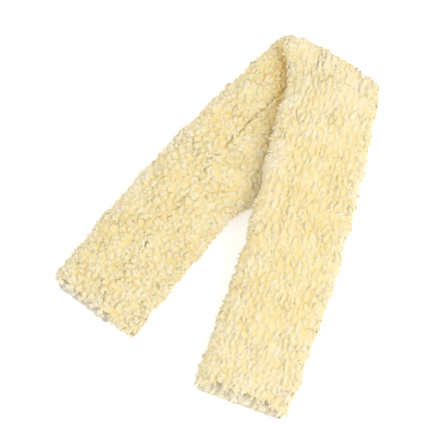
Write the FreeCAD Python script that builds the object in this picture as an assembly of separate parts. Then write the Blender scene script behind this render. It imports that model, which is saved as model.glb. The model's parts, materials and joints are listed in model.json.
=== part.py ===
import FreeCAD, Part
import math
import os

# Fleece girth sleeve: an open-ended tube of knit-backed pile fabric, flattened and folded
# once across its middle into a V. The lower leg lies on the ground. The upper leg lies over
# it, comes off its side and drops to the ground. A lengthwise seam closes the tube on the
# face that is inside the fold.
#
# Millimetres and degrees. +Z is up. +Y points from the mouths to the fold, +X from the
# lower leg to the upper leg. The origin is on the ground under the middle of the whole
# folded sleeve. Distances "along" a leg start at the fold's crease.

# Driving dimensions: the fabric
SLEEVE_WIDTH = 120.0        # flattened sleeve over its pile
SLEEVE_THICKNESS = 25.0     # two walls and the hollow between them
PILE_HEIGHT = 7.0           # fibres outside the knit backing
BACKING_THICKNESS = 1.5     # the knit that the fibres are locked into
PLY_GAP = 0.1               # between layers that are sewn to each other

# Driving dimensions: how the sleeve lies
LOWER_LENGTH = 386.0        # crease to mouth
UPPER_LENGTH = 403.0
FOLD_HALF_ANGLE = 20.0      # each leg leaves the fold this far from square
BOW_RADIUS = 1880.0         # the legs curve towards each other, as tongs do
BEND_AT = 210.0             # along each leg, where its free end can be lifted
DROP_END = 350.0            # the upper leg comes down from BEND_AT to here
MOVING_GAP = 0.3            # between pieces that move apart

# Driving dimensions: the sewing
ALLOWANCE_WIDTH = 11.0      # each flap of the seam, pressed open inside the tube
ALLOWANCE_THICKNESS = 1.6
THREAD = 0.8                # the closing row of lockstitch, between the flaps
OVERLOCK_LENGTH = 3.0       # whipped edge that stands out of the pile at each mouth

# Worked out from the above
CORE_WIDTH = SLEEVE_WIDTH - 2 * PILE_HEIGHT
CORE_THICKNESS = SLEEVE_THICKNESS - 2 * PILE_HEIGHT
BORE_WIDTH = CORE_WIDTH - 2 * BACKING_THICKNESS
BORE_THICKNESS = CORE_THICKNESS - 2 * BACKING_THICKNESS
LOWER_Z = SLEEVE_THICKNESS / 2
CREASE_Z = SLEEVE_THICKNESS + MOVING_GAP / 2
UPPER_Z = LOWER_Z + SLEEVE_THICKNESS + MOVING_GAP
FOLD_RADIUS = CREASE_Z - LOWER_Z            # of the sleeve's middle as it goes round the crease
HALF_ANGLE = math.radians(FOLD_HALF_ANGLE)
# The sleeve goes round the crease at a slant, so each leg sits this far to its own side.
SIDESTEP = FOLD_RADIUS * math.pi / 2 * math.tan(HALF_ANGLE)
CUT_START = -30.0           # legs are made this much too long, then cut on the crease
DROP_STATIONS = 13          # sections through the part of the leg that comes down
FOLD_STATIONS = 13          # sections round the crease
BIG = 2000.0

UP = FreeCAD.Vector(0, 0, 1)


class Leg:
    """One half of the sleeve. side is -1 for the lower leg and +1 for the upper one."""

    def __init__(self, side, length, middle_z):
        self.side = side
        self.length = length
        self.middle_z = middle_z

    def slant(self, along):
        """The angle between the leg and -Y, in radians."""
        return HALF_ANGLE - along / BOW_RADIUS

    def bow_centre(self):
        x = self.side * (SIDESTEP - BOW_RADIUS * math.cos(HALF_ANGLE))
        return FreeCAD.Vector(x, -BOW_RADIUS * math.sin(HALF_ANGLE), 0)

    def drop(self, along):
        """How far the leg has come down from its height at the fold."""
        if self.side < 0 or along <= BEND_AT:
            return 0.0
        t = min((along - BEND_AT) / (DROP_END - BEND_AT), 1.0)
        return (UPPER_Z - LOWER_Z) * t ** 3 * (t * (6 * t - 15) + 10)

    def point(self, along, across, height):
        """height is from the middle of the leg's thickness, across is towards +X."""
        slant = self.slant(along)
        out = FreeCAD.Vector(self.side * math.cos(slant), math.sin(slant), 0)
        z = self.middle_z - self.drop(along) + height
        return self.bow_centre() + out * (BOW_RADIUS + self.side * across) + UP * z


def stadium(where, width, thickness):
    """A closed wire with two flat sides and two round ends; where(across, height) places it."""
    half = thickness / 2
    flat = width / 2 - half
    top_left, top_right = where(-flat, half), where(flat, half)
    low_right, low_left = where(flat, -half), where(-flat, -half)
    return Part.Wire([
        Part.makeLine(top_left, top_right),
        Part.Arc(top_right, where(width / 2, 0), low_right).toShape(),
        Part.makeLine(low_right, low_left),
        Part.Arc(low_left, where(-width / 2, 0), top_left).toShape(),
    ])


def rectangle(where, left, right, low, high):
    corners = [where(left, low), where(right, low), where(right, high), where(left, high)]
    return Part.makePolygon(corners + corners[:1])


def level_run(leg, outline, start, end):
    """Carries outline(where) along a level stretch of the leg."""
    wire = outline(lambda across, height: leg.point(start, across, height))
    turn = -leg.side * math.degrees((end - start) / BOW_RADIUS)
    return Part.Face(wire).revolve(leg.bow_centre(), UP, turn)


def falling_run(leg, outline, start, end):
    """Carries outline(where) along the stretch of the leg that comes down."""
    wires = []
    for i in range(DROP_STATIONS):
        along = start + (end - start) * i / (DROP_STATIONS - 1)
        wires.append(outline(lambda across, height: leg.point(along, across, height)))
    return Part.makeLoft(wires, True, False)


def fold_run(outline):
    """Carries outline(where) half a turn round the crease, from the lower leg to the upper."""
    wires = []
    for i in range(FOLD_STATIONS):
        share = i / (FOLD_STATIONS - 1)
        turn = math.pi * share

        def where(across, height):
            out = FOLD_RADIUS - height
            x = across / math.cos(HALF_ANGLE) + SIDESTEP * (2 * share - 1)
            y = MOVING_GAP / 2 + out * math.sin(turn)
            return FreeCAD.Vector(x, y, CREASE_Z - out * math.cos(turn))

        wires.append(outline(where))
    return Part.makeLoft(wires, True, False)


def tube(carry, outer, inner):
    """A shell between two stadium sections, each (width, thickness)."""
    solid = carry(lambda where: stadium(where, *outer))
    hollow = carry(lambda where: stadium(where, *inner))
    return solid.cut(hollow)


def pile(carry):
    core = (CORE_WIDTH + 2 * PLY_GAP, CORE_THICKNESS + 2 * PLY_GAP)
    return tube(carry, (SLEEVE_WIDTH, SLEEVE_THICKNESS), core)


def backing(carry):
    return tube(carry, (CORE_WIDTH, CORE_THICKNESS), (BORE_WIDTH, BORE_THICKNESS))


def seam_allowance(carry, seam_side):
    """Two flaps against the wall that holds the seam; seam_side is +1 above and -1 below."""
    wall = seam_side * (BORE_THICKNESS / 2 - PLY_GAP)
    low, high = sorted((wall, wall - seam_side * ALLOWANCE_THICKNESS))
    inner = THREAD / 2 + PLY_GAP
    outer = inner + ALLOWANCE_WIDTH
    left = carry(lambda where: rectangle(where, -outer, -inner, low, high))
    right = carry(lambda where: rectangle(where, inner, outer, low, high))
    return Part.makeCompound([left, right])


def seam_thread(carry, seam_side):
    """The row of stitches that draws the two flaps together."""
    wall = seam_side * (BORE_THICKNESS / 2 - PLY_GAP)
    low, high = sorted((wall, wall - seam_side * THREAD))
    return carry(lambda where: rectangle(where, -THREAD / 2, THREAD / 2, low, high))


def mouth_overlock(leg):
    """The whipped edge of the backing round the open end."""
    start = leg.length - OVERLOCK_LENGTH + PLY_GAP

    def carry(outline):
        wires = [
            outline(lambda across, height: leg.point(along, across, height))
            for along in (start, leg.length)
        ]
        return Part.makeLoft(wires, True, True)

    return backing(carry)


def behind_crease(shape):
    """Keeps what lies on the legs' side of the crease."""
    corner = FreeCAD.Vector(-BIG / 2, -BIG - MOVING_GAP / 2, -BIG / 2)
    return shape.common(Part.makeBox(BIG, BIG, BIG, corner))


LOWER = Leg(-1, LOWER_LENGTH, LOWER_Z)
UPPER = Leg(+1, UPPER_LENGTH, UPPER_Z)


def pieces():
    """Every node's shape, by name, with the crease's middle at x 0, y 0."""
    made = {}
    for name, leg in (("lower", LOWER), ("upper", UPPER)):
        seam_side = -leg.side
        end_run = level_run if leg is LOWER else falling_run
        fabric_end = leg.length - OVERLOCK_LENGTH

        def near(outline):
            return level_run(leg, outline, CUT_START, BEND_AT - MOVING_GAP / 2)

        def far(outline):
            return end_run(leg, outline, BEND_AT + MOVING_GAP / 2, fabric_end)

        made[name + "_pile"] = behind_crease(pile(near))
        made[name + "_backing"] = behind_crease(backing(near))
        made[name + "_seam_allowance"] = behind_crease(seam_allowance(near, seam_side))
        made[name + "_seam_thread"] = behind_crease(seam_thread(near, seam_side))
        made[name + "_end_pile"] = pile(far)
        made[name + "_end_backing"] = backing(far)
        made[name + "_end_seam_allowance"] = seam_allowance(far, seam_side)
        made[name + "_end_seam_thread"] = seam_thread(far, seam_side)
        made[name + "_mouth_overlock"] = mouth_overlock(leg)
    made["fold_pile"] = pile(fold_run)
    made["fold_backing"] = backing(fold_run)
    made["fold_seam_allowance"] = seam_allowance(fold_run, 1)
    made["fold_seam_thread"] = seam_thread(fold_run, 1)
    return made


def to_origin(shapes):
    """The move that puts the middle of the shapes' box over the origin."""
    box = FreeCAD.BoundBox()
    for shape in shapes:
        for point in shape.tessellate(0.05)[0]:
            box.add(point)
    return FreeCAD.Vector(-box.Center.x, -box.Center.y, 0)


def main():
    made = pieces()
    move = to_origin(made.values())
    os.makedirs("parts", exist_ok=True)
    for name, shape in made.items():
        shape.translate(move)
        shape.exportStep(os.path.join("parts", name + ".step"))
        print(name, len(shape.Solids), "solids", round(shape.Volume / 1000, 2), "cm3")
    crease = FreeCAD.Vector(0, 0, CREASE_Z) + move
    print("crease", [round(v, 3) for v in crease])
    for name, leg in (("lower", LOWER), ("upper", UPPER)):
        hinge = leg.point(BEND_AT, 0, SLEEVE_THICKNESS / 2) + move
        mouth = leg.point(leg.length, 0, 0) + move
        print(name, "bend", [round(v, 3) for v in hinge], "at", round(leg.slant(BEND_AT), 6))
        print(name, "mouth", [round(v, 3) for v in mouth])


main()
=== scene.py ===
import json
import math

import bpy
import numpy as np
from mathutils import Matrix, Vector


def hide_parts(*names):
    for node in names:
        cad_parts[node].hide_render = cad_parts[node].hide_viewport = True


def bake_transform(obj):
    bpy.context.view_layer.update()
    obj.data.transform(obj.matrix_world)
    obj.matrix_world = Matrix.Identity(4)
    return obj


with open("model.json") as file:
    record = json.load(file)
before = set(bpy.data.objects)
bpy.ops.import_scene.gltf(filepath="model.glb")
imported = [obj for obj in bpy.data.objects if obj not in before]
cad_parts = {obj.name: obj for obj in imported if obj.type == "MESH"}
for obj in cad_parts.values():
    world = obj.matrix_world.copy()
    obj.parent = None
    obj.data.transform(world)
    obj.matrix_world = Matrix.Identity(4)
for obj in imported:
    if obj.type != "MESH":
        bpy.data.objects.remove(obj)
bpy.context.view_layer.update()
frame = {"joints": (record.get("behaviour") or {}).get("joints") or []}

joints = {joint["name"]: joint for joint in frame["joints"]}

# A fleece girth sleeve, in metres. Everything is made on the flat strip that the sleeve was
# before it was folded, in strip coordinates: s runs along it from the lower mouth to the
# upper mouth and is 0 at the crease, w runs across it, and h stands out of it, above 0 on
# the face that is inside the fold. One function, folded(), then lays the strip as it lies.

# Driving sizes, which repeat the CAD model's
HALF_ANGLE = math.radians(20)
BOW_RADIUS = 1.88
LOWER_LENGTH = 0.386
UPPER_LENGTH = 0.403
BEND_AT = 0.210
DROP_END = 0.350
HALF_THICKNESS = 0.0125

# Places read from the frame
ROLL_LOW = joints["fold_lower_roll"]["pos_m"]
ROLL_HIGH = joints["fold_upper_roll"]["pos_m"]
LOWER_Z = ROLL_LOW[2]
UPPER_Z = ROLL_HIGH[2]
CREASE_Z = (LOWER_Z + UPPER_Z) / 2
FOLD_RADIUS = CREASE_Z - LOWER_Z
CREASE_X = ROLL_LOW[0]
CREASE_Y = ROLL_LOW[1] - FOLD_RADIUS
EXTRA_STEP = 0.003          # the strip steps this much further sideways than the CAD one
SIDESTEP = FOLD_RADIUS * math.pi / 2 * math.tan(HALF_ANGLE) + EXTRA_STEP
ROLL_LENGTH = math.pi * FOLD_RADIUS
STRIP_ROLL = ROLL_LENGTH / math.cos(HALF_ANGLE)     # the strip's own length round it
STRIP_START = -LOWER_LENGTH
STRIP_END = STRIP_ROLL + UPPER_LENGTH
PILE_START = STRIP_START - 0.006                    # the pile spills out over the lower mouth

# Where the sleeve's outline leaves the even strip
CROTCH_AT = -0.166          # the lower leg bulges where the legs part
CROTCH_LENGTH = 0.016
CROTCH_BULGE = 0.0100
CORNER_INSET = 0.0065       # the upper leg's left edge stands in, just past the fold
CORNER_LENGTH = 0.085
FOLD_SWELL = 0.0032         # how much fuller the outside of the fold is, in its middle
GROUND_CLEARANCE = 0.0002
PILE_CLEARANCE = 0.0003     # pressed pile stays this far inside the sleeve's own thickness
UPPER_EDGE = 0.060          # half the upper leg's width, over its pile
LIES_ON_LOWER = 0.185       # the upper leg lies on the lower one up to here
LIES_ON_GROUND = 0.31       # and on the ground from here
MOUTH_BITE = 0.0080         # how far back the upper mouth's top wall stands

# The fabric: its ground is the knit's outer face, which the pile grows from
GROUND_HALF_WIDTH = 0.0535
GROUND_HALF_THICKNESS = 0.0058
GROUND_SQUARENESS = 3.2
KNIT_THICKNESS = 0.0013
PILE = 0.0067
CRACK_WIDTH = 0.0010        # of the cracks between tufts, from their middle
CRACK_DEPTH = 0.55          # the share of the pile's height that a crack goes down
SEAM_CRACK_WIDTH = 0.0006

rng = np.random.default_rng(41)


# ---------------- laying the strip

def smoothstep(t):
    t = np.clip(t, 0, 1)
    return t * t * (3 - 2 * t)


def slack(s, w):
    """How much further out the free ends lie than the even strip, across it."""
    low = smoothstep((-s - 0.17) / 0.12)
    high = smoothstep((s - STRIP_ROLL - 0.20) / 0.12)
    ripple = 0.0009 * np.sin(s * 95 + np.sign(w)) + 0.0007 * np.sin(s * 171 + 2 * np.sign(w))
    crotch = np.exp(-((s - CROTCH_AT) / CROTCH_LENGTH) ** 2)
    crotch = CROTCH_BULGE * crotch * smoothstep(w / 0.055)
    corner = smoothstep((s / STRIP_ROLL - 0.3) / 0.7)
    corner = corner * smoothstep((STRIP_ROLL + CORNER_LENGTH - s) / 0.07)
    corner = CORNER_INSET * corner * smoothstep(-w / 0.05)
    even = low * (0.0015 + 0.030 * w) + high * (0.026 * w - 0.0012)
    return even + crotch + corner + ripple * w / 0.06


def flat_place(s, w):
    """Where strip points lie before folding: X along the crease, Y square to it."""
    w = w + slack(s, w)
    before, after = s < 0, s > STRIP_ROLL
    along = np.where(before, -s, np.where(after, s - STRIP_ROLL, 0.0))
    slant = HALF_ANGLE - along / BOW_RADIUS
    cos_h, sin_h = math.cos(HALF_ANGLE), math.sin(HALF_ANGLE)
    low_x = BOW_RADIUS * cos_h - SIDESTEP - np.cos(slant) * (BOW_RADIUS - w)
    low_y = np.sin(slant) * (BOW_RADIUS - w) - BOW_RADIUS * sin_h
    high_x = np.cos(slant) * (BOW_RADIUS + w) - BOW_RADIUS * cos_h + SIDESTEP
    high_y = ROLL_LENGTH - np.sin(slant) * (BOW_RADIUS + w) + BOW_RADIUS * sin_h
    mid_x = SIDESTEP * (2 * s / STRIP_ROLL - 1) + w * cos_h
    mid_y = s * cos_h - w * sin_h
    x = np.where(before, low_x, np.where(after, high_x, mid_x))
    y = np.where(before, low_y, np.where(after, high_y, mid_y))
    return x, y


def drop(s):
    """How far the upper leg has come down to the ground."""
    t = np.clip((s - STRIP_ROLL - BEND_AT) / (DROP_END - BEND_AT), 0, 1)
    return (UPPER_Z - LOWER_Z) * t ** 3 * (t * (6 * t - 15) + 10)


def folded(points):
    """Strip points (s, w, h) as they lie in the row frame."""
    s, w, h = points[..., 0], points[..., 1], points[..., 2]
    x, y = flat_place(s, w)
    turn = np.clip(y / FOLD_RADIUS, 0, math.pi)
    swell = np.exp(-((w + 0.012) / 0.034) ** 2) * smoothstep(-h / 0.004) * np.sin(turn)
    swell = FOLD_SWELL * swell
    out = np.maximum(FOLD_RADIUS - h + swell, 0.0004)
    roll_y = out * np.sin(turn)
    roll_z = CREASE_Z - out * np.cos(turn)
    lower, upper = y < 0, y > ROLL_LENGTH
    new_y = np.where(lower, y, np.where(upper, ROLL_LENGTH - y, roll_y))
    new_z = np.where(lower, LOWER_Z + h, np.where(upper, UPPER_Z - h - drop(s), roll_z))
    new_z = np.maximum(new_z, GROUND_CLEARANCE)
    return np.stack([x + CREASE_X, new_y + CREASE_Y, new_z], axis=-1)


def across_upper(x, y):
    """How far row-frame points lie across the upper leg's middle line, towards +X."""
    centre_x = CREASE_X + SIDESTEP - BOW_RADIUS * math.cos(HALF_ANGLE)
    centre_y = CREASE_Y - BOW_RADIUS * math.sin(HALF_ANGLE)
    return np.hypot(x - centre_x, y - centre_y) - BOW_RADIUS


# ---------------- the section

class Section:
    """A rounded flat loop round the sleeve, measured by its own length q from the seam."""

    def __init__(self, half_width, half_thickness):
        angle = np.linspace(0, 2 * math.pi, 2001) + math.pi / 2
        power = 2 / GROUND_SQUARENESS
        w = -half_width * np.sign(np.cos(angle)) * np.abs(np.cos(angle)) ** power
        h = half_thickness * np.sign(np.sin(angle)) * np.abs(np.sin(angle)) ** power
        step = np.hypot(np.diff(w), np.diff(h))
        self.q = np.concatenate([[0], np.cumsum(step)])
        self.around = self.q[-1]
        self.w, self.h = w, h
        places = self.q + 1e-12 * np.arange(len(w))
        dw, dh = np.gradient(w, places), np.gradient(h, places)
        size = np.hypot(dw, dh) + 1e-12
        self.nw, self.nh = -dh / size, dw / size
        if self.nh[0] < 0:
            self.nw, self.nh = -self.nw, -self.nh

    def at(self, q):
        """(w, h, outward w, outward h) at length q round the loop."""
        q = np.mod(q, self.around)
        return [np.interp(q, self.q, v) for v in (self.w, self.h, self.nw, self.nh)]


GROUND = Section(GROUND_HALF_WIDTH, GROUND_HALF_THICKNESS)


def waves(s, q, scale, seed, count=7):
    """Smooth noise about 0, roughly -1 to 1, that joins up round the sleeve."""
    picks = np.random.default_rng(seed)
    total = np.zeros_like(s)
    turns = GROUND.around / scale
    for _ in range(count):
        across = round(picks.uniform(-1, 1) * turns)
        along = picks.uniform(-1, 1) / scale
        phase = picks.uniform(0, 2 * math.pi)
        total += np.sin(2 * math.pi * (along * s + across * q / GROUND.around) + phase)
    return total / math.sqrt(count / 2) / 1.6


def seam_place(s):
    """Where the closing seam runs: it wanders about the middle of its face."""
    along = -s
    return -0.0085 * smoothstep((0.27 - along) / 0.14) + 0.002 * smoothstep((along - 0.27) / 0.1)


def seam_offset(s, q):
    """How far round the sleeve from the closing seam, below 0 on one side of it."""
    return np.mod(q - seam_place(s) + GROUND.around / 2, GROUND.around) - GROUND.around / 2


def ease_of_fold(s):
    """1 in the roll of the fold and 0 well away from it."""
    return smoothstep(1 - np.abs(s - STRIP_ROLL / 2) / 0.050)


def pressed(s, w, h):
    """1 where the pile is pressed flat by the ground or the other leg, 0 where it is free."""
    x, y = flat_place(s, w)
    row_y = np.where(y > ROLL_LENGTH, ROLL_LENGTH - y, y) + CREASE_Y
    over = np.abs(across_upper(x + CREASE_X, row_y))
    under_upper = smoothstep((UPPER_EDGE + 0.001 - over) / 0.008) * (y < 0)
    along_upper = s - STRIP_ROLL
    on_lower = smoothstep((LIES_ON_LOWER - along_upper) / 0.02) * (y >= 0)
    on_ground = smoothstep((along_upper - LIES_ON_GROUND) / 0.03) * (y >= 0)
    inside = np.maximum(under_upper, np.maximum(on_lower, on_ground))
    ground = smoothstep((0.003 - y) / 0.006)
    facing = smoothstep((np.abs(h) - 0.4 * GROUND_HALF_THICKNESS) / (0.4 * GROUND_HALF_THICKNESS))
    return np.where(h > 0, inside, ground) * facing


# ---------------- making meshes

def linked(name, data):
    made = bpy.data.objects.new(name, data)
    bpy.context.scene.collection.objects.link(made)
    return made


def new_mesh(name, vertices, quads, attributes, uv):
    """A smooth mesh object from arrays; a quad with -1 as its last corner is a triangle."""
    mesh = bpy.data.meshes.new(name)
    three = quads[:, 3] < 0
    sizes = np.where(three, 3, 4)
    loops = quads.reshape(-1)
    loops = loops[loops >= 0].astype(np.int32)
    mesh.vertices.add(len(vertices))
    mesh.vertices.foreach_set("co", vertices.astype(np.float32).reshape(-1))
    mesh.loops.add(len(loops))
    mesh.loops.foreach_set("vertex_index", loops)
    mesh.polygons.add(len(quads))
    starts = np.concatenate([[0], np.cumsum(sizes)[:-1]]).astype(np.int32)
    mesh.polygons.foreach_set("loop_start", starts)
    mesh.polygons.foreach_set("use_smooth", np.ones(len(quads), bool))
    layer = mesh.uv_layers.new(name="Strand")
    layer.data.foreach_set("uv", uv[loops].astype(np.float32).reshape(-1))
    for key, values in attributes.items():
        layer = mesh.attributes.new(key, "FLOAT", "POINT")
        layer.data.foreach_set("value", values.astype(np.float32).reshape(-1))
    mesh.update(calc_edges=True)
    mesh.validate()
    return linked(name, mesh)


def join_blocks(blocks):
    """One set of (vertices, quads, attributes, uv) from several."""
    vertices, quads, uv, attributes = [], [], [], {}
    base = 0
    for v, f, a, u in blocks:
        vertices.append(v)
        quads.append(np.where(f < 0, -1, f + base))
        uv.append(u)
        for key in a:
            attributes.setdefault(key, []).append(a[key])
        base += len(v)
    joined = {key: np.concatenate(values) for key, values in attributes.items()}
    return np.concatenate(vertices), np.concatenate(quads), joined, np.concatenate(uv)


# ---------------- locks of pile

def crossing(level, w):
    """The s at which the strip reaches that far square to the crease, for each w."""
    low = np.full(np.shape(w), -0.1)
    high = np.full(np.shape(w), STRIP_ROLL + 0.1)
    for _ in range(40):
        middle = (low + high) / 2
        before = flat_place(middle, w)[1] < level
        low, high = np.where(before, middle, low), np.where(before, high, middle)
    return (low + high) / 2


def scattered(start, end, spacing):
    """Uneven but well-spread places (s, q) on the strip between two ends."""
    rows = max(3, round(GROUND.around / (spacing * 0.87)))
    columns = max(1, round((end - start) / spacing))
    column, row = np.meshgrid(np.arange(columns), np.arange(rows), indexing="ij")
    jolt = rng.uniform(-0.36, 0.36, (2, *row.shape))
    s = start + (column + 0.5 * (row % 2) + 0.25 + jolt[0]) * (end - start) / columns
    q = (row + jolt[1]) * GROUND.around / rows
    s = np.where(s > end, s - (end - start), s)
    return s.ravel(), np.mod(q.ravel(), GROUND.around)


class Tufts:
    """Mounds of pile, each lying its own way, with a crack between it and the next."""

    def __init__(self, size, stretch, spread, seed):
        picks = np.random.default_rng(seed)
        self.start = STRIP_START - 0.06
        length = STRIP_END + 0.06 - self.start
        self.rows = 2 * round(GROUND.around / size / 2)
        self.columns = round(length / (size * stretch))
        self.step_s, self.step_q = length / self.columns, GROUND.around / self.rows
        shape = (self.columns, self.rows)
        self.jolt = picks.uniform(-0.40, 0.40, (2, *shape))
        self.way = picks.uniform(-spread, spread, shape)
        self.mound = picks.uniform(-1, 1, shape)
        self.stretch, self.size = stretch, size

    def around(self, s, q):
        """Which tuft each place is on, how far its middle is along and round, and how far the
        nearest crack is."""
        column = np.floor((s - self.start) / self.step_s).astype(int)
        row = np.floor(q / self.step_q).astype(int)
        nearest, second = np.full(s.shape, 9.0), np.full(s.shape, 9.0)
        found = np.zeros(s.shape, int)
        to_s, to_q = np.zeros(s.shape), np.zeros(s.shape)
        for i in range(-2, 3):
            for j in range(-2, 3):
                c = np.clip(column + i, 0, self.columns - 1)
                r = (row + j) % self.rows
                far_s = self.start + (c + 0.25 + 0.5 * (r % 2) + self.jolt[0][c, r]) * self.step_s - s
                far_q = (row + j + 0.5 + self.jolt[1][c, r]) * self.step_q - q
                distance = np.hypot(far_s / self.stretch, far_q)
                closer = distance < nearest
                second = np.where(closer, nearest, np.minimum(second, distance))
                nearest = np.where(closer, distance, nearest)
                found = np.where(closer, c * self.rows + r, found)
                to_s, to_q = np.where(closer, far_s, to_s), np.where(closer, far_q, to_q)
        return found, to_s, to_q, (second - nearest) / 2


CURLED = Tufts(0.0088, 1.10, math.pi, 12)
COMBED = Tufts(0.0068, 2.0, 0.45, 13)


def wandering(s, q):
    """Places moved a little to and fro, so that the tufts' outlines are uneven."""
    return s + 0.0017 * waves(s, q, 0.013, 61), q + 0.0017 * waves(s, q, 0.013, 62)


def is_combed(s, h):
    """1 where the pile lies in long locks along the strip, 0 where it is in round curls."""
    return smoothstep((s - 0.005) / 0.03) * (h < 0.5 * GROUND_HALF_THICKNESS)


def crack(s, q):
    """1 along the cracks between tufts and down the parted seam, 0 on the tufts themselves."""
    h = GROUND.at(q)[1]
    there = wandering(s, q)
    share = is_combed(s, h)
    curled, combed = [np.exp(-(tufts.around(*there)[3] / CRACK_WIDTH) ** 2)
                      for tufts in (CURLED, COMBED)]
    depth = curled * (1 - share) + combed * share
    depth = depth * (0.45 + 0.55 * smoothstep(waves(s, q, 0.028, 63) + 0.5))
    depth = depth * (1 - 0.5 * smoothstep((np.abs(GROUND.at(q)[0]) - 0.044) / 0.008))
    seam = 0.75 * seam_parting(s) * np.exp(-(seam_offset(s, q) / SEAM_CRACK_WIDTH) ** 2)
    return np.maximum(depth, seam)


def seam_parting(s):
    """How open the parting over the closing seam is, from 0 to 1."""
    near = smoothstep((s + 0.150) / 0.02) * (s < 0)
    broken = smoothstep(waves(s, np.zeros_like(s), 0.05, 21, 5) * 1.4 - 0.1)
    return np.clip(np.maximum(near, 0.4 * broken * smoothstep((-s - 0.2) / 0.03)), 0, 1)


def unit(vectors):
    return vectors / (np.linalg.norm(vectors, axis=-1, keepdims=True) + 1e-12)


def tube_faces(rings, sides):
    """The faces of a closed tube of rings, with its tip and its root as its last two points."""
    ring, side = np.meshgrid(np.arange(rings - 1), np.arange(sides), indexing="ij")
    nxt = (side + 1) % sides
    wall = np.stack([ring * sides + side, ring * sides + nxt,
                     (ring + 1) * sides + nxt, (ring + 1) * sides + side], -1).reshape(-1, 4)
    around = np.arange(sides)
    turned, none = (around + 1) % sides, np.full(sides, -1)
    last, end = (rings - 1) * sides, np.full(sides, rings * sides)
    tip = np.stack([last + around, last + turned, end, none], -1)
    root = np.stack([turned, around, end + 1, none], -1)
    return np.concatenate([wall, tip, root])


def lock_block(s, q, lean_s, lean_q, shape, tone, rings, sides, stretch=1.0):
    """Tapered curls, one for each root. Each rises along the ground's outward direction and
    lies over towards its lean. Returns strip-space vertices, quads, attributes and uv."""
    count = len(s)
    height, reach, begin, end, radius, point, sink = [shape[k][:, None] for k in (
        "height", "reach", "begin", "end", "radius", "point", "sink")]
    w, h, nw, nh = GROUND.at(q)
    outward = np.stack([np.zeros(count), nw, nh], -1)
    round_way = np.stack([np.zeros(count), nh, -nw], -1)
    along_way = np.tile([1.0, 0.0, 0.0], (count, 1))
    size = np.hypot(lean_s, lean_q) + 1e-9
    lean = along_way * (lean_s / size)[:, None] + round_way * (lean_q / size)[:, None]
    side_way = np.cross(outward, lean)
    root = np.stack([s, w, h], -1) - outward * sink

    t = np.linspace(0, 1, rings)[None, :] ** 0.8
    bend = begin + (end - begin) * t ** 0.8
    rise = (np.sin(bend) - np.sin(begin)) / (1 - np.sin(begin))
    run = (np.cos(begin) - np.cos(bend)) * reach
    sway = 0.22 * np.sin(t * 5 + tone[:, None] * 20) * reach * t
    centre = (root[:, None, :]
              + outward[:, None, :] * (rise * (height + sink))[..., None]
              + lean[:, None, :] * run[..., None]
              + side_way[:, None, :] * sway[..., None])
    forward = unit(np.gradient(centre, axis=1))
    across = np.broadcast_to(side_way[:, None, :], forward.shape)
    across = unit(across - forward * (across * forward).sum(-1, keepdims=True))
    up = np.cross(forward, across)

    grow = 0.60 + 0.40 * smoothstep(t / 0.45)
    taper = grow * (1 - point * smoothstep((t - 0.45) / 0.55))
    girth = radius * taper
    angle = np.arange(sides) * 2 * math.pi / sides
    angle = angle + 0.4 * np.cos(angle)      # closer together on the side that shows
    turn = t[..., None] * 1.6 + tone[:, None, None] * 6.28
    lobe = 1 + 0.10 * np.cos(2 * angle[None, None, :] + 3 * turn)
    wide = np.cos(angle)[None, None, :] * 1.22 * lobe
    high = np.sin(angle)[None, None, :] * 0.72 * lobe
    vertices = (centre[:, :, None, :]
                + across[:, :, None, :] * (wide * girth[..., None])[..., None]
                + up[:, :, None, :] * (high * girth[..., None])[..., None])
    vertices = vertices.reshape(count, rings * sides, 3)
    tips = centre[:, -1] + forward[:, -1] * (girth[:, -1] * 0.7)[:, None]
    roots = centre[:, 0] - forward[:, 0] * (girth[:, 0] * 0.2)[:, None]
    vertices = np.concatenate([vertices, tips[:, None], roots[:, None]], 1)
    vertices[..., 0] = s[:, None] + (vertices[..., 0] - s[:, None]) / np.reshape(stretch, (-1, 1))
    from_root = vertices - np.stack([s, w, h], -1)[:, None]
    sunk = crack(vertices[..., 0], q[:, None] + (from_root * round_way[:, None]).sum(-1))
    out = (from_root * outward[:, None]).sum(-1)
    vertices -= outward[:, None] * (np.maximum(out, 0) * CRACK_DEPTH * sunk)[..., None]

    one = tube_faces(rings, sides)
    per = rings * sides + 2
    quads = np.where(one[None] < 0, -1, one[None] + (np.arange(count) * per)[:, None, None])

    lift = np.repeat(t, sides, axis=1)
    lift = np.concatenate([lift, [[1.0, 0.0]]], 1)
    level = np.clip(rise, 0, 1)
    level = np.concatenate([np.repeat(level, sides, axis=1), level[:, -1:], level[:, :1]], 1)
    # painted shade: the colour goes towards gold where a lock dips into a crack between tufts
    level = level * (1 - 0.5 * sunk)
    u = np.concatenate([np.tile(angle / (2 * math.pi), rings), [0.5, 0.5]])
    uv = np.stack([np.broadcast_to(u, (count, per)), np.broadcast_to(lift, (count, per))], -1)
    attributes = {"lift": level.reshape(-1), "tone": np.repeat(tone, per)}
    return vertices.reshape(-1, 3), quads.reshape(-1, 4), attributes, uv.reshape(-1, 2)


def kept_apart(points, flat):
    """Holds pressed pile inside the sleeve's own thickness and out of the crease."""
    s, w, h = points[:, 0], points[:, 1], points[:, 2]
    free, held = HALF_THICKNESS + 0.004, HALF_THICKNESS - PILE_CLEARANCE
    limit = np.where(flat > 0.5, held, free)
    inside = np.minimum(limit, held - 0.0040 * ease_of_fold(s))
    near_fold = ease_of_fold(s) > 0
    h = np.clip(h, -limit, np.where(near_fold, inside, limit))
    return np.stack([s, w, h], -1)


def mouth_bite(w):
    """How far back the upper mouth's top wall stands, above its bottom wall."""
    uneven = 0.0019 * np.sin(w * 190 + 1) + 0.0013 * np.sin(w * 430 + 2)
    return (MOUTH_BITE + uneven) * smoothstep((0.049 - np.abs(w + 0.002)) / 0.018)


def beyond_mouth(s, w, h):
    """True where there is no pile, since the wall has ended."""
    return (s > STRIP_END - 0.001 - mouth_bite(w) - 0.06 * np.maximum(w, 0)) & (h < 0)


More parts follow.
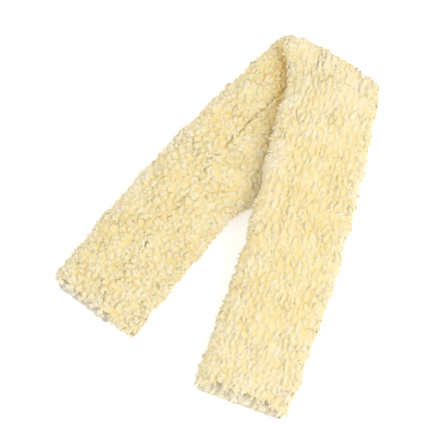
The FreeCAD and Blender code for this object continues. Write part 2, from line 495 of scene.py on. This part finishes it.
def roll_stretch(s, w, h):
    """How much longer the pile's surface is than the strip, going round the crease."""
    y = flat_place(s, w)[1]
    rolled = smoothstep((y + 0.002) / 0.004) * smoothstep((ROLL_LENGTH + 0.002 - y) / 0.004)
    return 1 + rolled * np.where(h < 0, 0.85, -0.35)


def painted_shade_of(s, w, h):
    """How much painted shade the pile on the lower leg gets, in the deep shade beside the upper leg.
    """
    x, y = flat_place(s, w)
    beside = -UPPER_EDGE - across_upper(x + CREASE_X, y + CREASE_Y)
    near = np.exp(-np.clip(beside, 0, 1) / 0.008) * smoothstep((beside + 0.026) / 0.026)
    fade = 0.25 + 0.75 * smoothstep((0.15 + s) / 0.13)
    return near * fade * (s < 0) * (h > 0)


def pale_and_sheen_of(s, q, w):
    """How much paler the wool is, towards near white: near the fold, on the upper leg's left side and
    at its end, at the lower mouth, and, as painted sheen, along both sides of the sleeve.
    """
    along = s - STRIP_ROLL
    at_fold = smoothstep((0.085 - np.abs(s - STRIP_ROLL - 0.01)) / 0.07)
    at_fold = at_fold * smoothstep((s + 0.01) / 0.03)
    at_end = 0.9 * smoothstep((along - 0.27) / 0.10)
    left = 0.8 * smoothstep((-w - 0.020) / 0.030) * (along > 0)
    at_mouth = smoothstep((0.030 - s + STRIP_START) / 0.030)
    # painted sheen: paler along both sides of the sleeve, where light scatters in the fuzz at its
    # outline
    edge = 0.9 * smoothstep((np.abs(w) - 0.041) / 0.011)
    found = np.maximum.reduce([at_fold, at_end, left, at_mouth, edge])
    return np.clip(found * (0.75 + 0.45 * waves(s, q, 0.022, 71)), 0, 1)


# The middle and half the range of each size that a lock is given, in metres and degrees
LONG_LOCKS = {"reach": (0.0056, 0.0010), "begin": (24, 8), "end": (108, 12),
              "radius": (0.00195, 0.00035), "point": (0.62, 0.2)}
ROUND_LOCKS = {"reach": (0.0036, 0.0009), "begin": (20, 10), "end": (114, 14),
               "radius": (0.00225, 0.00035), "point": (0.40, 0.2)}
FIBRES = {"radius": (0.00030, 0.00012), "height": (PILE + 0.0003, 0.0012),
          "reach": (0.0034, 0.0016), "begin": (22, 25), "end": (100, 30)}
LOCK_SINK = 0.0012          # how far under the knit's face a lock is rooted
FIBRE_RISE = 0.0030         # a fibre starts this far up, among the locks
FIBRE_SPACING = 0.0031


def drawn_sizes(ranges, count):
    """The sizes of some locks, each drawn evenly from its range."""
    sizes = {}
    for key, (middle, half_range) in ranges.items():
        drawn = middle + half_range * rng.uniform(-1, 1, count)
        sizes[key] = np.radians(drawn) if key in ("begin", "end") else drawn
    return sizes


def pile_part(start, end, wanted, spacing, rings, sides, bulk):
    """All the locks whose roots satisfy wanted(s, w, h) on a stretch of the strip."""
    s, q = scattered(start, end, spacing)
    w, h, _, _ = GROUND.at(q)
    keep = wanted(s, w, h)
    keep &= ~beyond_mouth(s, w, h)
    s, q, w, h = s[keep], q[keep], w[keep], h[keep]
    combed = is_combed(s, h)
    blocks = []
    for tufts, pick in ((CURLED, combed <= 0.5), (COMBED, combed > 0.5)):
        if not pick.any():
            continue
        ps, pq, pw, ph = s[pick], q[pick], w[pick], h[pick]
        n = len(ps)
        found, to_s, to_q, border = tufts.around(*wandering(ps, pq))
        way, mound = tufts.way.ravel()[found], tufts.mound.ravel()[found]
        half = tufts.size / 2
        rim = 1 - smoothstep(border / 0.0026)
        beside = seam_offset(ps, pq)
        parting = seam_parting(ps) * np.exp(-(beside / 0.0032) ** 2)
        way = way + 0.16 * rng.normal(size=n)
        inward = 0.35 + 0.8 * rim
        lean_s = np.cos(way) + inward * to_s / (half * tufts.stretch)
        lean_q = np.sin(way) * (1 - parting) + inward * to_q / half
        lean_q = lean_q + 0.6 * parting * np.sign(beside)
        shape = drawn_sizes(LONG_LOCKS if tufts is COMBED else ROUND_LOCKS, n)
        shape["radius"] *= bulk
        fringe = smoothstep((-pw - 0.045) / 0.006) * (ps > STRIP_ROLL) * (ph < 0)
        shape["point"] += 0.30 * fringe
        shape["radius"] *= 1 - 0.20 * fringe
        lean_q = lean_q + 1.1 * fringe
        flat = pressed(ps, pw, ph)
        mouth = np.maximum(smoothstep(1 - (ps - PILE_START) / 0.009),
                           smoothstep(1 - (STRIP_END - ps) / 0.007))
        over = np.where(ps < 0, ph > 0, ph < 0)
        spill = 1.6 * mouth * over * (1 - 0.6 * smoothstep((pw - 0.01) / 0.02) * (ps < 0))
        lean_s = lean_s + spill * np.where(ps < 0, -1, 1)
        height = PILE - 0.72 * shape["radius"] + 0.0004 * mound
        height += 0.0020 * ease_of_fold(ps) * (ph < 0)
        height += (0.0011 if tufts is COMBED else 0.0013) * (0.35 - rim)
        height += 0.0003 * rng.uniform(-1, 1, n)
        height += 0.0006 * waves(ps, pq, 0.045, 3)
        shape["height"] = height * (1 - 0.28 * flat) * (1 - 0.25 * parting)
        shape["sink"] = np.full(n, LOCK_SINK)
        tone = rng.uniform(0, 1, n)
        vertices, quads, attributes, uv = lock_block(ps, pq, lean_s, lean_q, shape, tone,
                                                     rings, sides, roll_stretch(ps, pw, ph))
        per = rings * sides + 2
        tone_here = 0.35 * tone + 0.33 + 0.25 * mound + 0.5 * mouth
        attributes["tone"] = np.repeat(np.clip(tone_here, 0, 1), per)
        # paler in places, with painted sheen along the sleeve's sides
        attributes["pale"] = np.repeat(pale_and_sheen_of(ps, pq, pw), per)
        # painted shade beside the upper leg
        attributes["shade"] = np.repeat(painted_shade_of(ps, pw, ph), per)
        blocks.append((kept_apart(vertices, np.repeat(flat, per)), quads, attributes, uv))
    return join_blocks(blocks)


def fibre_part(start, end, wanted, spacing):
    """Single stray fibres that stand out past the locks."""
    s, q = scattered(start, end, spacing)
    w, h, _, _ = GROUND.at(q)
    keep = wanted(s, w, h) & (pressed(s, w, h) < 0.3) & ~beyond_mouth(s, w, h)
    keep &= (np.abs(w) > 0.046) | (rng.uniform(0, 1, len(s)) < 0.15)
    s, q, w, h = s[keep], q[keep], w[keep], h[keep]
    n = len(s)
    spin = rng.uniform(0, 2 * math.pi, n)
    shape = drawn_sizes(FIBRES, n)
    shape["point"] = np.full(n, 0.8)
    shape["sink"] = np.full(n, -FIBRE_RISE)
    tone = rng.uniform(0, 1, n)
    rings, sides = 5, 3
    vertices, quads, attributes, uv = lock_block(s, q, np.cos(spin) + 0.4, np.sin(spin),
                                                 shape, tone, rings, sides)
    per = rings * sides + 2
    attributes["lift"] = 0.5 + 0.5 * attributes["lift"]
    # painted shade beside the upper leg
    attributes["shade"] = np.repeat(painted_shade_of(s, w, h), per)
    # paler fibres, more so in the paler places, with painted sheen along the sleeve's sides
    attributes["pale"] = np.repeat(0.4 + 0.6 * pale_and_sheen_of(s, q, w), per)
    return kept_apart(vertices, np.zeros(n * per)), quads, attributes, uv


# ---------------- closed layers round the sleeve

def closed_layer(outer, inner, wraps):
    """The closed surface of a layer, from a grid of points on each of its two faces."""
    columns, rows = outer.shape[:2]
    ring = np.arange(rows if wraps else rows - 1)
    i, j = np.meshgrid(np.arange(columns - 1), ring, indexing="ij")
    nxt = (j + 1) % rows
    outside = np.stack([i * rows + j, i * rows + nxt,
                        (i + 1) * rows + nxt, (i + 1) * rows + j], -1).reshape(-1, 4)
    shift = columns * rows
    nxt = (ring + 1) % rows
    base = (columns - 1) * rows
    quads = [
        outside,
        outside[:, ::-1] + shift,
        np.stack([ring, ring + shift, nxt + shift, nxt], -1),
        np.stack([base + ring, base + nxt, base + nxt + shift, base + ring + shift], -1),
    ]
    if not wraps:
        column = np.arange(columns - 1) * rows
        far = column + rows - 1
        quads.append(np.stack([column, column + rows, column + rows + shift, column + shift], -1))
        quads.append(np.stack([far, far + shift, far + rows + shift, far + rows], -1))
    points = np.concatenate([outer.reshape(-1, 3), inner.reshape(-1, 3)])
    return points, np.concatenate(quads)


def layer_part(low_s, high_s, inner, outer, step, attributes, around=150, span=None):
    """A closed layer between two distances out from the ground, each of which may vary, and
    between two places along the strip, which may differ round it. span limits it to a range
    beside the seam."""
    if span:
        q = np.linspace(*span, around)
    else:
        q = np.arange(around) * GROUND.around / around
    w, h, _, _ = GROUND.at(q)
    low, high = low_s(q, w, h), high_s(q, w, h)
    columns = max(3, round(float(np.max(high - low)) / step)) + 1
    t = np.linspace(0, 1, columns)[:, None]
    ss = low[None] + (high - low)[None] * t
    qq = np.broadcast_to(q[None], ss.shape)
    if span:
        qq = qq + seam_place(ss)
    ww, hh, nw, nh = GROUND.at(qq)
    groove = -0.0020 * np.exp(-(seam_offset(ss, qq) / 0.0022) ** 2)
    faces = []
    for distance in (outer, inner):
        out = distance(ss, qq, ww, hh) + groove
        faces.append(np.stack([ss, ww + nw * out, hh + nh * out], -1))
    points, quads = closed_layer(*faces, wraps=not span)
    values = {"face": np.repeat([1.0, 0.0], ss.size)}
    for key, value in attributes(ss, qq, ww, hh).items():
        values[key] = np.tile(value.reshape(-1), 2)
    uv = np.concatenate([np.stack([ss / 0.004, qq / 0.004], -1).reshape(-1, 2)] * 2)
    return points, quads, values, uv


def thread_part(path, radius, sides=5):
    """A round thread along a path of strip points."""
    forward = unit(np.gradient(path, axis=0))
    across = unit(np.cross(forward, [0.05, 0.1, 1.0]))
    up = np.cross(forward, across)
    angle = np.arange(sides) * 2 * math.pi / sides
    ring = (across[:, None] * np.cos(angle)[None, :, None]
            + up[:, None] * np.sin(angle)[None, :, None]) * radius
    rings = len(path)
    points = np.concatenate([(path[:, None] + ring).reshape(-1, 3), path[-1:], path[:1]])
    length = np.repeat(np.arange(rings) * 0.25, sides)
    uv = np.stack([np.tile(angle / (2 * math.pi), rings), length], -1)
    uv = np.concatenate([uv, uv[-1:], uv[:1]])
    return points, tube_faces(rings, sides), {}, uv


STITCH = 0.0048             # one stitch of the closing row
OVERLOCK_PITCH = 0.0027     # from one loop of overlock to the next
LOCKSTITCH_RADIUS = 0.00036
OVERLOCK_RADIUS = 0.00034


def lockstitch(start, end):
    """The closing row of stitches, down in the groove between the two edges of the fabric."""
    s = np.arange(start, end, STITCH / 8)
    q = seam_place(s) + 0.0011 * np.sin(2 * math.pi * s / STITCH)
    w, h, nw, nh = GROUND.at(q)
    out = -0.0014 - 0.0005 * np.cos(4 * math.pi * s / STITCH)
    return thread_part(np.stack([s, w + nw * out, h + nh * out], -1), LOCKSTITCH_RADIUS)


def overlock(edge, way):
    """Loops of thread over the cut edge of the knit, all round a mouth."""
    turns = round(GROUND.around / OVERLOCK_PITCH)
    phase = np.linspace(0, turns * 2 * math.pi, turns * 12)
    q = phase / (turns * 2 * math.pi) * (GROUND.around - 0.001)
    w, h, nw, nh = GROUND.at(q)
    s = edge(q, w, h) - way * (0.0012 - 0.0017 * np.cos(phase))
    out = -KNIT_THICKNESS / 2 + 0.0011 * np.sin(phase)
    return thread_part(np.stack([s, w + nw * out, h + nh * out], -1), OVERLOCK_RADIUS)


BED_HEIGHT = 0.0047


def bed_out(s, q, w, h):
    """How far out the matted wool under the locks' tips stands."""
    flat = pressed(s, w, h)
    parting = seam_parting(s) * np.exp(-(seam_offset(s, q) / 0.0020) ** 2)
    out = BED_HEIGHT + 0.0004 * is_combed(s, h)
    out = out + 0.0005 * waves(s, q, 0.010, 31, 9) + 0.0003 * waves(s, q, 0.005, 32, 9)
    out = out * (1 - 0.25 * flat) * (1 - 0.35 * parting) + 0.0020 * ease_of_fold(s) * (h < 0)
    return out * (1 - CRACK_DEPTH * crack(s, q))


def bed_attributes(s, q, w, h):
    tone = 0.5 + 0.35 * waves(s, q, 0.012, 33, 9)
    # painted shade: the bed turns golden along the cracks between tufts and beside the upper leg; it
    # is paler in places, with painted sheen along the sleeve's sides
    return {"lift": 0.42 - 0.2 * crack(s, q), "tone": np.clip(tone, 0, 1),
            "shade": painted_shade_of(s, w, h), "pale": 0.6 * pale_and_sheen_of(s, q, w)}


def constant(value):
    return lambda *place: np.full(np.shape(place[0]), value)


def mouth_share(s):
    """1 at the mouths' cut edges, 0 well inside the sleeve."""
    low, high = STRIP_START + 0.012 - s, s - STRIP_END + 0.012
    return smoothstep(np.maximum(low, high) / 0.016)


def puckers(s, q):
    """The wrinkles of the limp cut edges, which run aslant into the mouths."""
    return waves(0.5 * s + 0.5 * q, q, 0.0085, 12, 9)


def knit_attributes(s, q, w, h):
    # painted shade in the valleys of the puckers near the cut edges, weaker at the lower mouth
    crease = mouth_share(s) * smoothstep(-0.15 - puckers(s, q) * 1.3) * np.where(s > 0, 1, 0.3)
    return {"crease": crease, "warm": smoothstep(s / 0.1)}


def knit_out(s, q, w, h):
    """The knit's outer face, which puckers near its cut edges."""
    return 0.00025 * waves(s, q, 0.016, 11) + 0.0015 * mouth_share(s) * puckers(s, q)


def knit_in(s, q, w, h):
    return knit_out(s, q, w, h) - KNIT_THICKNESS


# ---------------- materials

def material(name):
    made = bpy.data.materials.new(name)
    made.use_nodes = True
    return made, made.node_tree.nodes, made.node_tree.links


def new_node(nodes, kind, **inputs):
    node = nodes.new(kind)
    for name, value in inputs.items():
        node.inputs[name].default_value = value
    return node


def reads(nodes, name):
    node = nodes.new("ShaderNodeAttribute")
    node.attribute_name = name
    return node.outputs["Fac"]


def strand(nodes):
    """Coordinates along and round each lock, thread or layer."""
    node = nodes.new("ShaderNodeUVMap")
    node.uv_map = "Strand"
    return node.outputs[0]


def bands(nodes, links, direction, **inputs):
    """Stripes across the strand's coordinates."""
    node = new_node(nodes, "ShaderNodeTexWave", **inputs)
    node.wave_type = "BANDS"
    node.bands_direction = direction
    links.new(strand(nodes), node.inputs["Vector"])
    return node.outputs["Fac"]


def arithmetic(nodes, links, operation, *values):
    node = nodes.new("ShaderNodeMath")
    node.operation = operation
    for socket, value in zip(node.inputs, values):
        if isinstance(value, (int, float)):
            socket.default_value = value
        else:
            links.new(value, socket)
    return node.outputs[0]


def ramp(nodes, links, factor, stops):
    node = nodes.new("ShaderNodeValToRGB")
    node.color_ramp.interpolation = "EASE"
    elements = node.color_ramp.elements
    while len(elements) < len(stops):
        elements.new(0.5)
    for element, (place, colour) in zip(elements, stops):
        element.position = place
        element.color = (*colour, 1)
    links.new(factor, node.inputs[0])
    return node.outputs[0]


def roughened(nodes, links, height, strength, distance, rough_change, rough_base):
    """The shader's bumps and unevenly rough surface, both from one pattern."""
    shader = nodes["Principled BSDF"]
    bump = new_node(nodes, "ShaderNodeBump", Strength=strength, Distance=distance)
    links.new(height, bump.inputs["Height"])
    links.new(bump.outputs[0], shader.inputs["Normal"])
    rough = arithmetic(nodes, links, "MULTIPLY_ADD", height, rough_change, rough_base)
    links.new(rough, shader.inputs["Roughness"])


def mixed(nodes, links, factor, first, second, blend="MIX"):
    node = nodes.new("ShaderNodeMix")
    node.data_type = "RGBA"
    node.blend_type = blend
    sockets = [node.inputs[0], node.inputs[6], node.inputs[7]]
    for socket, value in zip(sockets, (factor, first, second)):
        if isinstance(value, (int, float)):
            socket.default_value = value
        elif isinstance(value, tuple):
            socket.default_value = (*value, 1)
        else:
            links.new(value, socket)
    return node.outputs[2]


# The wool, from its tips down to its roots, partly its own colour and partly painted shade deep
# in the pile and in its cracks; then painted shade in the gap beside the upper leg, tinted for the
# light that comes through the pile there; then paler places, with painted sheen along the sides
WHITE_WOOL = (0.828, 0.755, 0.525)
CREAM = (0.822, 0.728, 0.460)
GOLD = (0.850, 0.700, 0.360)
# painted shade: the golden tint in the gap beside the upper leg
PAINTED_SHADE_TINT = (0.965, 0.765, 0.350)
# paler places, and painted sheen along the sleeve's sides
PALE_AND_SHEEN_WOOL = (0.838, 0.786, 0.640)


def fleece_material():
    made, nodes, links = material("fleece_pile")
    shader = nodes["Principled BSDF"]
    tone = reads(nodes, "tone")
    lift = reads(nodes, "lift")
    level = arithmetic(nodes, links, "MULTIPLY_ADD", tone, 0.4, -0.30)
    raised = arithmetic(nodes, links, "ADD", lift, level)
    # gold at the roots to pale at the tips: partly the wool's own colour, partly painted shade deeper
    # in the pile and in the cracks
    colour = ramp(nodes, links, raised, [(0.1, GOLD), (0.55, CREAM), (1.0, WHITE_WOOL)])
    # paler in places, and painted sheen along the sleeve's sides
    pale_and_sheen_share = arithmetic(nodes, links, "MULTIPLY", reads(nodes, "pale"), 0.60)
    colour = mixed(nodes, links, pale_and_sheen_share, colour, PALE_AND_SHEEN_WOOL)
    # painted shade: a golden tint beside the upper leg, for the light that comes through the pile in
    # its shade
    colour = mixed(nodes, links, reads(nodes, "shade"), colour, PAINTED_SHADE_TINT)
    cloud = new_node(nodes, "ShaderNodeTexNoise", Scale=38, Detail=3)
    place = nodes.new("ShaderNodeTexCoord")
    links.new(place.outputs["Object"], cloud.inputs["Vector"])
    patch = ramp(nodes, links, cloud.outputs["Fac"],
                 [(0.35, (0.985, 0.95, 0.84)), (0.65, (1, 1, 1))])
    colour = mixed(nodes, links, 1.0, colour, patch, "MULTIPLY")
    links.new(colour, shader.inputs["Base Color"])
    wool = new_node(nodes, "ShaderNodeTexNoise", Scale=9, Detail=2)
    stretch = new_node(nodes, "ShaderNodeMapping", Scale=(1.6, 0.35, 1))
    links.new(strand(nodes), stretch.inputs[0])
    links.new(stretch.outputs[0], wool.inputs["Vector"])
    roughened(nodes, links, wool.outputs["Fac"], 0.35, 0.0004, 0.15, 0.78)
    shader.inputs["Specular IOR Level"].default_value = 0.15
    shader.inputs["Sheen Weight"].default_value = 0.25
    shader.inputs["Sheen Roughness"].default_value = 0.6
    shader.inputs["Sheen Tint"].default_value = (1.0, 0.95, 0.84, 1)
    return made


def knit_material():
    made, nodes, links = material("knit_backing")
    shader = nodes["Principled BSDF"]
    ribs = bands(nodes, links, "Y", Scale=0.5, Distortion=1.5, Detail=2)
    knit = ramp(nodes, links, ribs, [(0.1, (0.88, 0.85, 0.77)), (0.8, (0.94, 0.92, 0.86))])
    knit = mixed(nodes, links, reads(nodes, "warm"), knit, (0.90, 0.84, 0.68))
    # painted shade: darker in the puckers' valleys
    knit = mixed(nodes, links, reads(nodes, "crease"), knit, (0.70, 0.60, 0.38))
    colour = mixed(nodes, links, reads(nodes, "face"), knit, (0.84, 0.72, 0.46))
    links.new(colour, shader.inputs["Base Color"])
    roughened(nodes, links, ribs, 0.6, 0.0005, -0.1, 0.92)
    shader.inputs["Specular IOR Level"].default_value = 0.15
    return made


def thread_material():
    made, nodes, links = material("thread")
    shader = nodes["Principled BSDF"]
    twist = bands(nodes, links, "DIAGONAL", Scale=1.1)
    colour = ramp(nodes, links, twist, [(0.1, (0.66, 0.62, 0.52)), (0.7, (0.86, 0.83, 0.74))])
    links.new(colour, shader.inputs["Base Color"])
    roughened(nodes, links, twist, 0.5, 0.0001, -0.15, 0.65)
    return made


FLEECE = fleece_material()
KNIT = knit_material()
THREAD = thread_material()


def dressed(piece, skin):
    piece.data.materials.append(skin)
    return piece


# ---------------- pieces, and baking their placement

def made_piece(name, block, skin):
    """A piece from a block of strip points, laid as the strip lies."""
    points, quads, attributes, uv = block
    return dressed(new_mesh(name, folded(points), quads, attributes, uv), skin)


def bends(piece):
    """For a piece on a leg: bakes its placement into its mesh."""
    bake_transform(piece)


def rolls(piece):
    """For a piece round the fold: bakes its placement into its mesh."""
    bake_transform(piece)


# ---------------- building the sleeve

def between(low, high):
    """A test for places on the strip between two levels, measured square to the crease."""
    def test(s, w, h):
        level = flat_place(s, w)[1]
        return (level >= low) & (level < high)
    return test


in_lower, in_upper = between(-1, 0), between(ROLL_LENGTH, 1)
in_first_roll, in_second_roll = between(0, ROLL_LENGTH / 2), between(ROLL_LENGTH / 2, ROLL_LENGTH)


def on_face(test, sign):
    """The test, on the face inside the fold where sign is above 0, or else the other one."""
    return lambda s, w, h: test(s, w, h) & ((h > 0) == (sign > 0))


def split_at(test, low, high):
    """The test, only from one place along the strip to another."""
    return lambda s, w, h: test(s, w, h) & (s >= low) & (s < high)


def moves(piece, region):
    """Bakes the piece's placement into its mesh, by way of bends() or rolls() for its region of the
    strip.
    """
    if region == "lower":
        bends(piece)
    elif region == "upper":
        bends(piece)
    else:
        rolls(piece)


SPREAD = 0.030        # how far past the crease the strip's slanted edge runs
LOWER_SPLIT = -0.190
UPPER_SPLIT = STRIP_ROLL + 0.190
FOLD_RANGE = (-SPREAD, STRIP_ROLL + SPREAD)
FINE = (0.0041, 7, 8, 1.0)        # spacing, rings, sides and bulk of the locks that show
ROLLED = (0.0031, 8, 7, 1.0)      # of those spread out round the fold
COARSE = (0.0054, 5, 5, 1.35)     # and of those underneath

# Each piece of pile: its name, which roots it has, from where to where they are spread along
# the strip, its region, its locks, and the nodes that it replaces
plans = [
    ("lower_pile_top", split_at(on_face(in_lower, 1), LOWER_SPLIT, 1),
     (LOWER_SPLIT, SPREAD), "lower", FINE, ["lower_pile"]),
    ("lower_pile_under", on_face(in_lower, -1), (PILE_START, SPREAD), "lower", COARSE, []),
    ("lower_end_pile_top", split_at(on_face(in_lower, 1), -1, LOWER_SPLIT),
     (PILE_START, LOWER_SPLIT), "lower", FINE, ["lower_end_pile"]),
    ("fold_pile_low", on_face(in_first_roll, -1), FOLD_RANGE, "first_roll", ROLLED,
     ["fold_pile"]),
    ("fold_pile_high", on_face(in_second_roll, -1), FOLD_RANGE, "second_roll", ROLLED, []),
    ("fold_pile_low_inside", on_face(in_first_roll, 1), FOLD_RANGE, "first_roll", COARSE, []),
    ("fold_pile_high_inside", on_face(in_second_roll, 1), FOLD_RANGE, "second_roll", COARSE, []),
    ("upper_pile_under", on_face(in_upper, 1), (STRIP_ROLL - SPREAD, STRIP_END), "upper",
     COARSE, []),
    ("upper_pile_top", split_at(on_face(in_upper, -1), -1, UPPER_SPLIT),
     (STRIP_ROLL - SPREAD, UPPER_SPLIT), "upper", FINE, ["upper_pile"]),
    ("upper_end_pile_top", split_at(on_face(in_upper, -1), UPPER_SPLIT, 9),
     (UPPER_SPLIT, STRIP_END), "upper", FINE, ["upper_end_pile"]),
]
pile_of = {}
for name, test, (start, end), region, (spacing, rings, sides, bulk), nodes in plans:
    blocks = [pile_part(start, end, test, spacing, rings, sides, bulk),
              fibre_part(start, end, test, FIBRE_SPACING)]
    piece = made_piece(name, join_blocks(blocks), FLEECE)
    moves(piece, region)
    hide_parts(*nodes)
    pile_of.setdefault(region, []).append(piece)


def lower_edge(lip, back):
    """Where a layer ends at the lower mouth: its bottom wall reaches out past its top one."""
    def edge(q, w, h):
        bottom = smoothstep(0.5 - h / (2 * GROUND_HALF_THICKNESS))
        shown = smoothstep((0.036 - w) / 0.018)
        ragged = 0.0012 * waves(np.zeros_like(q), q, 0.011, 51, 9)
        return STRIP_START + back - lip * bottom * shown + ragged
    return edge


def upper_edge(lip, back):
    """The same at the upper mouth, where the top wall also stands back in its middle."""
    def edge(q, w, h):
        bottom = smoothstep(0.5 + h / (2 * GROUND_HALF_THICKNESS))
        ragged = 0.0006 * waves(np.zeros_like(q), q, 0.011, 52, 9)
        return STRIP_END - back + lip * bottom - mouth_bite(w) * (1 - bottom) + ragged - 0.035 * w
    return edge


def frayed(edge, lip, way):
    """Where the seam allowance ends: short of a mouth's lip by an uneven few millimetres."""
    def short(q, w, h):
        back = 0.0072 + 0.0022 * np.sin(q * 700) + 0.0010 * np.sin(q * 1900 + 1)
        return edge(q, w, h) + way * back
    return short if edge is lip else edge


def at_level(level):
    return lambda q, w, h: crossing(level, w)


SEAM_SIDE = 0.004       # h of the face that the seam is on, at the mouths
BED_FOOT = 0.0001       # the matted wool's inner face, just clear of the knit
FLAP_OUT = -0.0016      # the seam allowance's two faces, inside the knit
FLAP_IN = -0.0031
FLAP_GAP = 0.0006       # and its two edges, from the seam
FLAP_EDGE = 0.0112
LOWER_LIP = lower_edge(lip=0.0142, back=0.0005)
UPPER_LIP = upper_edge(lip=0.0085, back=0.0005)
first, middle, last = at_level(0.0), at_level(ROLL_LENGTH / 2), at_level(ROLL_LENGTH)

# Each stretch of the sleeve: its name, its region, where its bed of wool and its knit start,
# where the bed ends, the nodes that it replaces, and its cut length
stretches = [
    ("lower", "lower", lower_edge(lip=0.0, back=-0.0025), LOWER_LIP, first,
     ["lower_{}", "lower_end_{}"], LOWER_LENGTH),
    ("fold_low", "first_roll", first, first, middle, ["fold_{}"], STRIP_ROLL / 2),
    ("fold_high", "second_roll", middle, middle, last, [], STRIP_ROLL / 2),
    ("upper", "upper", last, last, upper_edge(lip=0.0, back=0.0015),
     ["upper_{}", "upper_end_{}"], UPPER_LENGTH),
]
for name, region, low_bed, low, high_bed, nodes, length in stretches:
    high = UPPER_LIP if region == "upper" else high_bed
    bed = layer_part(low_bed, high_bed, constant(BED_FOOT), bed_out, 0.0017, bed_attributes, 144)
    bed = made_piece(name + "_pile_bed", bed, FLEECE)
    knit = layer_part(low, high, knit_in, knit_out, 0.0025, knit_attributes)
    knit = made_piece(name + "_knit", knit, KNIT)
    flap_low, flap_high = frayed(low, LOWER_LIP, 1), frayed(high, UPPER_LIP, -1)
    flaps = join_blocks([layer_part(flap_low, flap_high, constant(FLAP_IN), constant(FLAP_OUT),
                                    0.004, knit_attributes, 9, span)
                         for span in ((-FLAP_EDGE, -FLAP_GAP), (FLAP_GAP, FLAP_EDGE))])
    allowance = made_piece(name + "_allowance", flaps, KNIT)
    on_seam = (np.zeros(1), np.zeros(1), np.full(1, SEAM_SIDE))
    ends = [float(edge(*on_seam)[0]) for edge in (low, high)]
    stitching = made_piece(name + "_stitching", lockstitch(*ends), THREAD)
    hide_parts(*[node.format("backing") for node in nodes])
    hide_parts(*[node.format("seam_allowance") for node in nodes])
    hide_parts(*[node.format("seam_thread") for node in nodes])
    sewn = [bed, allowance, stitching]
    if region in ("lower", "upper"):
        edge, way = (LOWER_LIP, -1) if region == "lower" else (UPPER_LIP, 1)
        loops = made_piece(name + "_overlock", overlock(edge, way), THREAD)
        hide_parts(name + "_mouth_overlock")
        sewn.append(loops)
    for piece in (knit, *sewn):
        moves(piece, region)


# ---------------- floor, light and camera

def plain_floor(half=4.0):
    mesh = bpy.data.meshes.new("floor")
    mesh.from_pydata([(-half, -half, 0), (half, -half, 0), (half, half, 0), (-half, half, 0)],
                     [], [(0, 1, 2, 3)])
    skin, nodes, _ = material("floor")
    looks = {"Base Color": (0.75, 0.75, 0.75, 1), "Roughness": 0.9, "Specular IOR Level": 0.0,
             "Emission Color": (1, 1, 1, 1), "Emission Strength": 0.42}
    for key, value in looks.items():
        nodes["Principled BSDF"].inputs[key].default_value = value
    mesh.materials.append(skin)
    linked("floor", mesh)


def soft_light(name, place, size, power):
    """A round soft light that faces the middle of the sleeve."""
    data = bpy.data.lights.new(name, "AREA")
    data.shape = "DISK"
    data.size = size
    data.energy = power
    made = linked(name, data)
    made.location = place
    made.rotation_mode = "QUATERNION"
    made.rotation_quaternion = (-Vector(place)).to_track_quat("-Z", "Y")


CAMERA_ROLL = 29.5                  # degrees
VIEW_WIDTH = 0.5376                 # what the picture takes in, from side to side
FOLD_RIGHT_OF_CENTRE = 0.13279      # where the fold's edge is in it
FOLD_ABOVE_CENTRE = 0.20153
SEEN_HEIGHT = 0.03                  # the level at which that width is measured


def overhead_camera():
    """Looks straight down, turned so that the fold is at the upper right."""
    roll = math.radians(CAMERA_ROLL)
    right = Vector((math.cos(roll), math.sin(roll), 0))
    up = Vector((-math.sin(roll), math.cos(roll), 0))
    fold_edge = Vector((CREASE_X, CREASE_Y + 2 * FOLD_RADIUS, 0))
    centre = fold_edge - right * FOLD_RIGHT_OF_CENTRE - up * FOLD_ABOVE_CENTRE
    data = bpy.data.cameras.new("camera")
    data.lens = 100
    data.sensor_width = 36
    distance = VIEW_WIDTH / data.sensor_width * data.lens
    made = linked("camera", data)
    made.location = centre + Vector((0, 0, distance + SEEN_HEIGHT))
    made.rotation_euler = (0, 0, roll)
    bpy.context.scene.camera = made


plain_floor()
soft_light("key", place=(1.3, 0.1, 1.7), size=1.2, power=17)
soft_light("fill", place=(-1.0, 0.5, 1.9), size=1.8, power=4)
world = bpy.data.worlds.new("studio")
world.use_nodes = True
world.node_tree.nodes["Background"].inputs[0].default_value = (1, 1, 1, 1)
world.node_tree.nodes["Background"].inputs[1].default_value = 0.865
bpy.context.scene.world = world
bpy.context.scene.view_settings.view_transform = "Standard"
overhead_camera()
